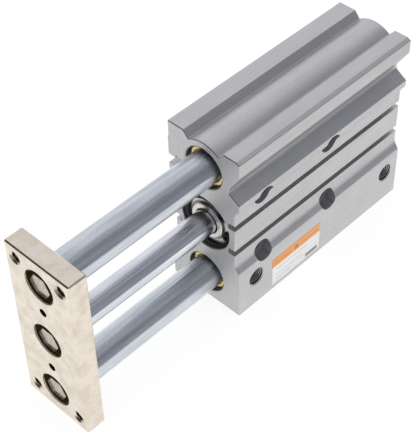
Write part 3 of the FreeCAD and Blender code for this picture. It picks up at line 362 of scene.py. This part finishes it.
def ground_and_plated(tree, place):
    """Grinding grain, drawn coarse enough to show, soft stains, and a few pits in patches."""
    grain = add_node(tree, "ShaderNodeTexNoise", {
        "Vector": place, "Scale": per(0.7), "Detail": 3.0})
    marks = add_node(tree, "ShaderNodeTexNoise", {
        "Vector": add_node(tree, "ShaderNodeMapping", {"Vector": place, "Scale": (1, 1, 0.2)}),
        "Scale": per(1.0), "Detail": 3.0})
    stains = add_node(tree, "ShaderNodeTexNoise", {
        "Vector": place, "Scale": per(7), "Detail": 4.0, "Roughness": 0.6})
    pits = add_node(tree, "ShaderNodeTexVoronoi", {"Vector": place, "Scale": per(1.7)})
    patches = add_node(tree, "ShaderNodeTexNoise", {"Vector": place, "Scale": per(9)})
    pitted = add_node(tree, "ShaderNodeMath", {
        0: add_node(tree, "ShaderNodeMapRange", {
            "Value": pits, "From Min": 0.08, "From Max": 0.2, "To Min": 1.0, "To Max": 0.0}),
        1: add_node(tree, "ShaderNodeMapRange", {
            "Value": patches, "From Min": 0.56, "From Max": 0.61})}, operation="MULTIPLY")
    ground = add_node(tree, "ShaderNodeMix", {"Factor": 0.4, "A": grain, "B": marks})
    relief = add_node(tree, "ShaderNodeMath", {0: ground, 1: pitted}, operation="SUBTRACT")
    blotches = add_node(tree, "ShaderNodeMapRange", {
        "Value": stains, "From Min": 0.38, "From Max": 0.6})
    return add_node(tree, "ShaderNodeMix", {"Factor": 0.45, "A": relief, "B": blotches}), relief


def nickel_plate(finishes):
    """Nickel over ground steel: warm, bright and softly mirrored, with painted shade in its holes."""
    stained = [c * s for c, s in zip(finishes.nickel, (0.88, 0.86, 0.83))]
    material, tree, shader = new_finish("nickel_plated_ground_steel", ground_and_plated,
                                        (stained, finishes.nickel), metallic=1.0,
                                        roughness=(0.36, 0.28), relief_mm=0.008)
    # Painted shade in the plate's tapped holes and dowel holes.
    darken_holes(tree, shader, finishes.shadow, PLATE_THREAD_WALL, "plate_bolts")
    darken_holes(tree, shader, finishes.shadow, DOWEL_WALL, "plate_dowels")
    return material


def drawn_bar(tree, place):
    """Long streaks along the bar, drawn coarse enough to show, and clouds drawn out like them."""
    streaks = add_node(tree, "ShaderNodeTexNoise", {
        "Vector": add_node(tree, "ShaderNodeMapping", {"Vector": place, "Scale": (0.03, 1, 1)}),
        "Scale": per(1.1), "Detail": 3.0})
    clouds = add_node(tree, "ShaderNodeTexNoise", {
        "Vector": add_node(tree, "ShaderNodeMapping", {"Vector": place, "Scale": (0.2, 1, 1)}),
        "Scale": per(4), "Detail": 4.0})
    return add_node(tree, "ShaderNodeMix", {"Factor": 0.5, "A": streaks, "B": clouds}), streaks


def plated_bar(name, colour, roughness):
    """Bright plating on steel ground round the long axis: a mirror that smears along it."""
    dull = [c * s for c, s in zip(colour, (0.66, 0.71, 0.75))]
    material, tree, shader = new_finish(name, drawn_bar, (dull, colour), metallic=1.0,
                                        roughness=(roughness * 1.3, roughness * 0.8),
                                        relief_mm=0.004)
    round_the_axis = add_node(tree, "ShaderNodeTangent", direction_type="RADIAL", axis="X")
    tree.links.new(round_the_axis, shader.inputs["Tangent"])
    shader.inputs["Anisotropic"].default_value = 0.9
    shader.inputs["Anisotropic Rotation"].default_value = 0.25
    return material


def turned_rings(ring_mm, levels):
    """Pattern of a tool's rings round the rods' axes, drawn coarse enough to show, with dirt."""
    def rings(tree, place):
        nearest = None
        for level in levels:
            moved = add_node(tree, "ShaderNodeMapping", {
                "Vector": place, "Location": (0, 0, -level), "Scale": (0, 1, 1)})
            radius = add_node(tree, "ShaderNodeVectorMath", {0: moved}, "Value", operation="LENGTH")
            nearest = radius if nearest is None else add_node(
                tree, "ShaderNodeMath", {0: nearest, 1: radius}, operation="MINIMUM")
        bands = add_node(tree, "ShaderNodeTexNoise", {
            "W": nearest, "Scale": per(ring_mm), "Detail": 2.0}, noise_dimensions="1D")
        dirt = add_node(tree, "ShaderNodeTexNoise", {
            "Vector": place, "Scale": per(1.2), "Detail": 3.0})
        return add_node(tree, "ShaderNodeMix", {"Factor": 0.4, "A": bands, "B": dirt}), bands
    return rings


def turned_aluminium(finishes):
    """Bare turned aluminium: soft bright arcs, with painted shade in the mouth and round the collar's hub."""
    level = LEVELS["piston_rod"]
    colours = [c * 0.8 for c in finishes.turned], finishes.turned
    material, tree, shader = new_finish("turned_aluminium", turned_rings(0.5, [level]), colours,
                                        metallic=1.0, roughness=(0.4, 0.26), relief_mm=0.02)
    hub = Vector((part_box("rod_collar")[0].x + HUB_HEIGHT, 0, level))
    place = add_node(tree, "ShaderNodeTexCoord", output="Object")
    offset = add_node(tree, "ShaderNodeVectorMath", {0: place, 1: hub}, operation="SUBTRACT")
    height = add_node(tree, "ShaderNodeSeparateXYZ", {"Vector": offset}, "X")
    flange = add_node(tree, "ShaderNodeMath", {0: height, 1: 0.0, 2: 0.2 * MM}, operation="COMPARE")
    flat = add_node(tree, "ShaderNodeVectorMath", {0: offset, 1: (0, 1, 1)}, operation="MULTIPLY")
    radius = add_node(tree, "ShaderNodeVectorMath", {0: flat}, "Value", operation="LENGTH")
    # Painted shade: a dark ring on the flange in the corner round the hub.
    corner = add_node(tree, "ShaderNodeMapRange", {
        "Value": radius, "From Min": HUB_RADIUS + 0.9 * MM, "From Max": HUB_RADIUS + 1.3 * MM,
        "To Min": 0.7, "To Max": 0.0})
    lay_over(tree, shader, add_node(tree, "ShaderNodeMath", {0: flange, 1: corner},
                                    operation="MULTIPLY"), finishes.shadow)
    # Painted shade inside the collar's mouth.
    mouth = add_node(tree, "ShaderNodeMapRange", {
        "Value": radius, "From Min": WIPER_HOLE, "From Max": WIPER_HOLE + 0.3 * MM,
        "To Min": 0.75, "To Max": 0.0})
    lay_over(tree, shader, mouth, finishes.shadow)
    return material


def turned_bronze(finishes):
    """Turned bronze: a bright warm yellow, with painted shade above, towards the port side."""
    levels = [LEVELS["upper_guide_rod"], LEVELS["lower_guide_rod"]]
    colours = [c * 0.5 for c in finishes.bronze], finishes.bronze
    material, tree, shader = new_finish("turned_bronze", turned_rings(0.5, levels), colours,
                                        metallic=1.0, roughness=(0.32, 0.2), relief_mm=0.02)
    place = add_node(tree, "ShaderNodeTexCoord", output="Object")
    offset = add_node(tree, "ShaderNodeVectorMath", {
        0: place, 1: Vector((0, 0, sum(levels) / 2))}, operation="SUBTRACT")
    height = add_node(tree, "ShaderNodeSeparateXYZ", {"Vector": offset}, "Z")
    side = add_node(tree, "ShaderNodeMath", {0: height}, operation="SIGN")
    from_middle = add_node(tree, "ShaderNodeVectorMath", {
        0: Vector((0, 0, (levels[0] - levels[1]) / 2)), "Scale": side}, operation="SCALE")
    from_axis = add_node(tree, "ShaderNodeVectorMath", {0: offset, 1: from_middle},
                         operation="SUBTRACT")
    up_and_portwards = Vector((0, -0.6, 0.8))
    towards_shade = add_node(tree, "ShaderNodeVectorMath", {
        0: from_axis, 1: up_and_portwards}, "Value", operation="DOT_PRODUCT")
    # Painted shade over the bushings' faces above the rods, towards the port side.
    port_side_shade = add_node(tree, "ShaderNodeMapRange", {
        "Value": towards_shade, "From Min": 3.0 * MM, "From Max": 5.0 * MM,
        "To Min": 0.0, "To Max": 0.95})
    lay_over(tree, shader, port_side_shade, finishes.shadow)
    return material


def turned_piston(finishes):
    """Clean metal off the lathe: rings about the rod's axis catch the light as arcs."""
    colours = [c * 0.8 for c in finishes.turned], finishes.turned
    return new_finish("turned_piston", turned_rings(0.5, [LEVELS["piston_rod"]]), colours,
                      metallic=1.0, roughness=(0.39, 0.24), relief_mm=0.01)[0]


def fine_mottle(tree, place):
    """Pores of a chemical black or a moulded skin, drawn coarse enough to show."""
    skin = add_node(tree, "ShaderNodeTexNoise", {"Vector": place, "Scale": per(0.5), "Detail": 3.0})
    return skin, skin


def black_oxide(name, colour):
    """Oiled black on steel: nearly black, faintly brown, with a dull sheen dimmed by the oxide."""
    material, tree, shader = new_finish(name, fine_mottle, ([c * 0.5 for c in colour], colour),
                                        metallic=1.0, roughness=(0.3, 0.42), relief_mm=0.006)
    shader.inputs["Specular Tint"].default_value = (0.5, 0.47, 0.44, 1.0)
    return material, tree, shader


def plate_screw(finishes):
    """Black oxide screw whose punched socket is bare, bright and crystalline at its bottom."""
    material, tree, shader = black_oxide("black_oxide_screw", finishes.black_oxide)
    place = add_node(tree, "ShaderNodeTexCoord", output="Object")
    depth = add_node(tree, "ShaderNodeSeparateXYZ", {"Vector": place}, "X")
    floor = add_node(tree, "ShaderNodeMath", {
        0: depth, 1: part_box("plate_screws")[0].x + SOCKET_DEPTH, 2: 0.6 * MM}, operation="COMPARE")
    facets = add_node(tree, "ShaderNodeTexVoronoi", {
        "Vector": place, "Scale": per(0.8)}, "Color")
    lay_over(tree, shader, floor, add_node(tree, "ShaderNodeMix", {
        "Factor": add_node(tree, "ShaderNodeSeparateXYZ", {"Vector": facets}, "X"),
        "A": [c * 0.72 for c in finishes.struck], "B": finishes.struck}, data_type="RGBA"))
    return material


def moulded(name, hex_colour, roughness):
    """Rubber, urethane or bonded magnet: dull, with a fine moulded skin."""
    colour = linear(hex_colour)
    return new_finish(name, fine_mottle, ([c * 0.8 for c in colour], colour), metallic=0.0,
                      roughness=(roughness * 0.85, roughness * 1.15), relief_mm=0.008)[0]


def paint(material, *names):
    """Give CAD nodes a finish, whatever slots they came with."""
    for name in names:
        node = frame["nodes"][name]
        node.data.materials.clear()
        node.data.materials.append(material)


def add_piece(bm, name, body, material, sharp_angle=30):
    """Close a mesh's making: a named object at the origin that rides on a body."""
    bmesh.ops.recalc_face_normals(bm, faces=bm.faces)
    mesh = bpy.data.meshes.new(name)
    bm.to_mesh(mesh)
    bm.free()
    mesh.materials.append(material)
    mesh.shade_smooth()
    mesh.set_sharp_from_angle(angle=math.radians(sharp_angle))
    piece = bpy.data.objects.new(name, mesh)
    bpy.context.scene.collection.objects.link(piece)
    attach(piece, body)
    return piece


class CYLINDER_OT_finish_body(bpy.types.Operator):
    """Anodised body, the covers in its bores, their clips, bushings and plugs"""

    bl_idname = "cylinder.finish_body"
    bl_label = "Finish Body"

    def execute(self, context):
        finishes = context.scene.cylinder_finishes
        paint(anodised_extrusion(finishes), "barrel_body")
        paint(turned_aluminium(finishes), "rod_collar", "rear_cover")
        paint(turned_bronze(finishes), *BUSHINGS)
        paint(black_oxide("phosphated_spring_steel", linear("#454547"))[0],
              "rod_collar_clip", "rear_cover_clip", *(f"{name}_clip" for name in BUSHINGS))
        paint(plated_bar("zinc_plated_steel", linear("#B9B6B0"), 0.28), "port_plugs")
        paint(moulded("nitrile_rubber", "#1C1C1D", 0.55),
              "rod_seal", "rod_collar_gasket", "rear_cover_gasket")
        return {"FINISHED"}


class CYLINDER_OT_finish_carriage(bpy.types.Operator):
    """Tooling plate, its screws, the three rods and the piston"""

    bl_idname = "cylinder.finish_carriage"
    bl_label = "Finish Carriage"

    def execute(self, context):
        finishes = context.scene.cylinder_finishes
        paint(nickel_plate(finishes), "tooling_plate")
        paint(plate_screw(finishes), "plate_screws")
        paint(plated_bar("hard_chrome_guide_bar", finishes.chrome, 0.27),
              "upper_guide_rod", "lower_guide_rod")
        paint(plated_bar("hard_chrome_piston_rod", finishes.piston_rod, 0.17), "piston_rod")
        paint(black_oxide("black_oxide_piston_screw", finishes.black_oxide)[0], "piston_screw")
        paint(turned_piston(finishes), "piston")
        paint(moulded("piston_seal_rubber", "#202021", 0.5), "piston_seal")
        paint(moulded("bonded_magnet", "#2B2A2A", 0.7), "piston_magnet")
        paint(moulded("cast_urethane", "#C0A468", 0.45), "front_bumper", "rear_bumper")
        return {"FINISHED"}


def film_ripple(tree, place):
    """Slight waviness of a glued film."""
    ripple = add_node(tree, "ShaderNodeTexNoise", {"Vector": place, "Scale": per(3.0)})
    return ripple, ripple


def printed_box(tree, corner, low, high):
    """1 inside a printed rectangle, given by shares of the label's length and height."""
    label = bpy.context.scene.cylinder_label
    size = Vector((label.length, 1.0, label.height))
    middle = corner + Vector((low[0] + high[0], 0, low[1] + high[1])) / 2 * size
    half = Vector((high[0] - low[0], 2, high[1] - low[1])) / 2 * size   # any Y but 0 will do
    place = add_node(tree, "ShaderNodeTexCoord", output="Object")
    offset = add_node(tree, "ShaderNodeVectorMath", {0: place, 1: middle}, operation="SUBTRACT")
    share = add_node(tree, "ShaderNodeVectorMath", {0: offset, 1: half}, operation="DIVIDE")
    share = add_node(tree, "ShaderNodeVectorMath", {0: share}, operation="ABSOLUTE")
    axes = add_node(tree, "ShaderNodeSeparateXYZ", {"Vector": share}, "X").node
    furthest = add_node(tree, "ShaderNodeMath", {0: axes.outputs["X"], 1: axes.outputs["Z"]},
                        operation="MAXIMUM")
    return add_node(tree, "ShaderNodeMath", {0: furthest, 1: 1.0}, operation="LESS_THAN")


def printed_film(label, corner):
    """Printed polyester film: smooth and white, with a coloured band and plain rules."""
    material, tree, shader = new_finish("printed_film", film_ripple, (label.paper, label.paper),
                                        metallic=0.0, roughness=(0.34, 0.44), relief_mm=0.004)
    band = 1 - label.band / label.height    # where the band begins, as a share of the height
    # The band's corners lie past the film's edges, so that it reaches them.
    lay_over(tree, shader, printed_box(tree, corner, (-1, band), (2, 2)), label.band_colour)
    faint, strong = 0.5, 0.8    # how much of the film a rule's ink covers
    for low, high, strength in (
        ((0.04, band + 0.11), (0.40, band + 0.14), faint),
        ((0.60, band + 0.11), (0.96, band + 0.14), faint),
        ((0.46, band + 0.06), (0.54, band + 0.20), faint),
        ((0.08, 0.52), (0.74, 0.545), faint),
        ((0.08, 0.30), (0.62, 0.32), faint),
        ((0.08, 0.14), (0.40, 0.16), faint),
        ((0.70, 0.06), (0.95, 0.19), strong),
    ):
        box = printed_box(tree, corner, low, high)
        lay_over(tree, shader, add_node(tree, "ShaderNodeMath", {0: box, 1: strength},
                                        operation="MULTIPLY"), label.ink)
    return material


class CYLINDER_OT_add_label(bpy.types.Operator):
    """Type label, a thin printed film on the port face"""

    bl_idname = "cylinder.add_label"
    bl_label = "Add Label"

    def execute(self, context):
        label = context.scene.cylinder_label
        corner = Vector((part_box("barrel_body")[0].x + label.front, PORT_FACE_Y, label.foot))
        size = Vector((label.length, label.thickness, label.height))
        bm = bmesh.new()
        bmesh.ops.create_cube(bm, size=1.0)
        bmesh.ops.scale(bm, vec=size, verts=bm.verts)
        bmesh.ops.translate(bm, verts=bm.verts, vec=corner + size * Vector((0.5, -0.5, 0.5)))
        corners = [e for e in bm.edges if abs((e.verts[0].co - e.verts[1].co).y) > size.y / 2]
        bmesh.ops.bevel(bm, geom=corners, offset=label.corner, segments=6, profile=0.5,
                        affect="EDGES", material=-1)
        rim = [e for e in bm.edges if all(v.co.y < PORT_FACE_Y - size.y / 2 for v in e.verts)
               and len({f.normal.y < -0.5 for f in e.link_faces}) == 2]
        bmesh.ops.bevel(bm, geom=rim, offset=size.y / 3, segments=2, profile=0.5,
                        affect="EDGES", material=-1)
        add_piece(bm, "type_label", "housing", printed_film(label, corner))
        return {"FINISHED"}


def wind_thread(bm, mouth, inward, radius, ridge, pitch, length, steps):
    """Helical ridge on the wall of a drilled hole, spun from its own section."""
    side = inward.orthogonal().normalized()
    foot = side * (radius + 0.02 * MM)      # sunk a little into the wall, so that no gap shows
    width = inward * pitch * 0.9            # of the ridge's foot; the rest of the pitch is bare
    corners = [mouth + foot, mouth + side * (radius - ridge) + width / 2, mouth + foot + width]
    profile = bm.faces.new([bm.verts.new(corner) for corner in corners])
    turns = math.floor(length / pitch) - 1
    bmesh.ops.spin(bm, geom=list(profile.verts) + list(profile.edges) + [profile], cent=mouth,
                   axis=inward, dvec=inward * pitch / steps, angle=2 * math.pi * turns,
                   steps=steps * turns)


class CYLINDER_OT_add_threads(bpy.types.Operator):
    """Threads in the tapped holes of the plate, the rear face, the sides and the air ports"""

    bl_idname = "cylinder.add_threads"
    bl_label = "Add Threads"

    def execute(self, context):
        threads = context.scene.cylinder_threads
        plate_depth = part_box("tooling_plate")[1].x - MOUNTS["plate_bolts"]["pos_m"][0]
        patterns = (
            ("plate_threads", "carriage", "nickel_plate", "tooling_plate", ("plate_bolts",),
             threads.coarse_pitch, plate_depth),
            ("rear_threads", "housing", "anodised_body", "barrel_body", ("rear_bolts",),
             threads.coarse_pitch, TAPPED_DEPTH),
            ("mounting_threads", "housing", "anodised_body", "barrel_body", ("side_bolts",),
             threads.coarse_pitch, TAPPED_DEPTH),
            ("port_threads", "housing", "anodised_body", "barrel_body", ("front_port", "rear_port"),
             threads.pipe_pitch, PORT_THREAD),
        )
        for name, body, slot, node, mounts, pitch, length in patterns:
            middle, half, axis = hole_pattern(*mounts)
            if name == "mounting_threads":      # tapped from the mounting face
                middle.y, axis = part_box("barrel_body")[1].y, -axis
            if name == "port_threads":
                middle.y = PORT_FACE_Y + PORT_THREAD_START
            centres = {tuple(middle + Vector((half.x * a, half.y * a, half.z * b)))
                       for a in (-1, 1) for b in (-1, 1)}
            bm = bmesh.new()
            for centre in sorted(centres):
                wind_thread(bm, Vector(centre), -axis, hole_radius(mounts[0]), threads.ridge,
                            pitch, length, threads.steps)
            add_piece(bm, name, body, frame["nodes"][node].data.materials[0])
        return {"FINISHED"}


def camera_matrix(stage):
    """Place and turn of a camera that looks at the stage's target."""
    back = Vector((math.cos(stage.elevation) * math.cos(stage.bearing),
                   math.cos(stage.elevation) * math.sin(stage.bearing),
                   math.sin(stage.elevation)))
    right = Vector((0, 0, 1)).cross(back).normalized()
    up = back.cross(right)
    cos, sin = math.cos(stage.roll), math.sin(stage.roll)
    turned = Matrix((right * cos + up * sin, up * cos - right * sin, back)).transposed()
    return Matrix.Translation(Vector(stage.target) + back * stage.distance) @ turned.to_4x4()


def studio_surroundings(stage):
    """White surroundings, and a room that only shiny surfaces see in their place.

    The room has a bright side and a darker one, a soft light above and a dark cloth.
    """
    world = bpy.data.worlds.new("soft_studio")
    world.use_nodes = True
    tree = world.node_tree
    tree.nodes.clear()
    direction = add_node(tree, "ShaderNodeTexCoord", output="Generated")
    axes = add_node(tree, "ShaderNodeSeparateXYZ", {"Vector": direction}, "X").node
    over = add_node(tree, "ShaderNodeMath", {
        0: add_node(tree, "ShaderNodeMath", {0: axes.outputs["Y"], 1: -1.0}, operation="MULTIPLY"),
        1: axes.outputs["Z"]}, operation="ARCTAN2")
    turn = add_node(tree, "ShaderNodeMapRange", {
        "Value": over, "From Min": -math.pi, "From Max": math.pi})
    shares = add_node(tree, "ShaderNodeValToRGB", {"Fac": turn}, "Color")
    ramp = shares.node.color_ramp
    for index, (degrees, share) in enumerate(ROOM):
        place = (degrees + 180) / 360
        stop = ramp.elements[index] if index < 2 else ramp.elements.new(place)
        stop.position, stop.color = place, (share, share, share, 1.0)
    mirrored = add_node(tree, "ShaderNodeMix", {
        "Factor": shares, "A": stage.dark, "B": stage.wall}, data_type="RGBA")
    for (middle, edge, core), colour in ((SKYLIGHT, stage.wall), (FLAG, stage.flag)):
        towards = add_node(tree, "ShaderNodeVectorMath", {
            0: direction, 1: middle}, "Value", operation="DOT_PRODUCT")
        share = add_node(tree, "ShaderNodeMapRange", {
            "Value": towards, "From Min": edge, "From Max": core})
        mirrored = add_node(tree, "ShaderNodeMix", {
            "Factor": share, "A": mirrored, "B": colour}, data_type="RGBA")
    glossy = add_node(tree, "ShaderNodeLightPath", output="Is Glossy Ray")
    seen = add_node(tree, "ShaderNodeMix", {
        "Factor": glossy, "A": (1.0, 1.0, 1.0), "B": mirrored}, data_type="RGBA")
    background = add_node(tree, "ShaderNodeBackground", {"Color": seen, "Strength": 1.0})
    add_node(tree, "ShaderNodeOutputWorld", {"Surface": background})
    return world


def table_top(stage):
    """Pale laminate table top that fades into the white surroundings past its radius."""
    material, tree, shader = new_finish("pale_table_top", fine_mottle, (stage.table, stage.table),
                                        metallic=0.0, roughness=(0.75, 0.85), relief_mm=0.0)
    shader.inputs["Specular IOR Level"].default_value = 0.0
    shader.inputs["Emission Color"].default_value = (1.0, 1.0, 1.0, 1.0)
    path = add_node(tree, "ShaderNodeLightPath", output="Is Camera Ray").node
    seen = add_node(tree, "ShaderNodeMath", {
        0: path.outputs["Is Camera Ray"], 1: path.outputs["Is Glossy Ray"]}, operation="MAXIMUM")
    lay_over(tree, shader, seen, [c * (SEEN_WHITE - stage.table_glow) for c in stage.table])
    tree.links.new(add_node(tree, "ShaderNodeMath", {0: seen, 1: stage.table_glow},
                            operation="MULTIPLY"), shader.inputs["Emission Strength"])
    place = add_node(tree, "ShaderNodeTexCoord", output="Object")
    distance = add_node(tree, "ShaderNodeVectorMath", {0: place}, "Value", operation="LENGTH")
    tree.links.new(add_node(tree, "ShaderNodeMapRange", {
        "Value": distance, "From Min": stage.table_radius,
        "From Max": stage.table_radius * TABLE_FADE, "To Min": 1.0, "To Max": 0.0}),
        shader.inputs["Alpha"])
    return material


class CYLINDER_OT_set_stage(bpy.types.Operator):
    """Camera, white surroundings and a pale table"""

    bl_idname = "cylinder.set_stage"
    bl_label = "Set Stage"

    def execute(self, context):
        scene = context.scene
        stage = scene.cylinder_stage
        scene.view_settings.view_transform = "Standard"
        scene.world = studio_surroundings(stage)
        bm = bmesh.new()
        bmesh.ops.create_circle(bm, cap_ends=True, segments=96,
                                radius=stage.table_radius * TABLE_EDGE)
        mesh = bpy.data.meshes.new("table_top")
        bm.to_mesh(mesh)
        bm.free()
        mesh.materials.append(table_top(stage))
        table = bpy.data.objects.new("table_top", mesh)
        scene.collection.objects.link(table)
        table.location.z = -TABLE_DROP
        lens = bpy.data.cameras.new("camera")
        lens.sensor_width = 36
        lens.lens = stage.lens
        lens.clip_start = 0.01
        camera = bpy.data.objects.new("camera", lens)
        camera.matrix_world = camera_matrix(stage)
        scene.collection.objects.link(camera)
        scene.camera = camera
        return {"FINISHED"}


class CYLINDER_PT_sidebar(bpy.types.Panel):
    """Sizes and colours, and one button for each step"""

    bl_idname = "CYLINDER_PT_sidebar"
    bl_label = "Guided Cylinder"
    bl_space_type = "VIEW_3D"
    bl_region_type = "UI"
    bl_category = "Cylinder"

    def draw(self, context):
        layout = self.layout
        for operator in OPERATORS:
            layout.operator(operator.bl_idname)
        for name, group in SETTINGS:
            box = layout.box()
            box.label(text=group.__doc__)
            for setting in group.__annotations__:
                box.prop(getattr(context.scene, name), setting)


OPERATORS = (CYLINDER_OT_set_stage, CYLINDER_OT_finish_body, CYLINDER_OT_finish_carriage,
             CYLINDER_OT_add_label, CYLINDER_OT_add_threads)
SETTINGS = (("cylinder_stage", CYLINDER_PG_stage), ("cylinder_finishes", CYLINDER_PG_finishes),
            ("cylinder_label", CYLINDER_PG_label), ("cylinder_threads", CYLINDER_PG_threads))
CLASSES = tuple(group for _, group in SETTINGS) + OPERATORS + (CYLINDER_PT_sidebar,)


def register():
    """Register the classes, and hang their settings on the scene."""
    for cls in CLASSES:
        bpy.utils.register_class(cls)
    for name, group in SETTINGS:
        setattr(bpy.types.Scene, name, PointerProperty(type=group))


def unregister():
    """Take off all that register added."""
    for name, _ in SETTINGS:
        delattr(bpy.types.Scene, name)
    for cls in reversed(CLASSES):
        bpy.utils.unregister_class(cls)


def main():
    """Build the looks."""
    register()
    bpy.ops.cylinder.set_stage()
    bpy.ops.cylinder.finish_body()
    bpy.ops.cylinder.finish_carriage()
    bpy.ops.cylinder.add_label()
    bpy.ops.cylinder.add_threads()


if __name__ == "__main__":
    main()
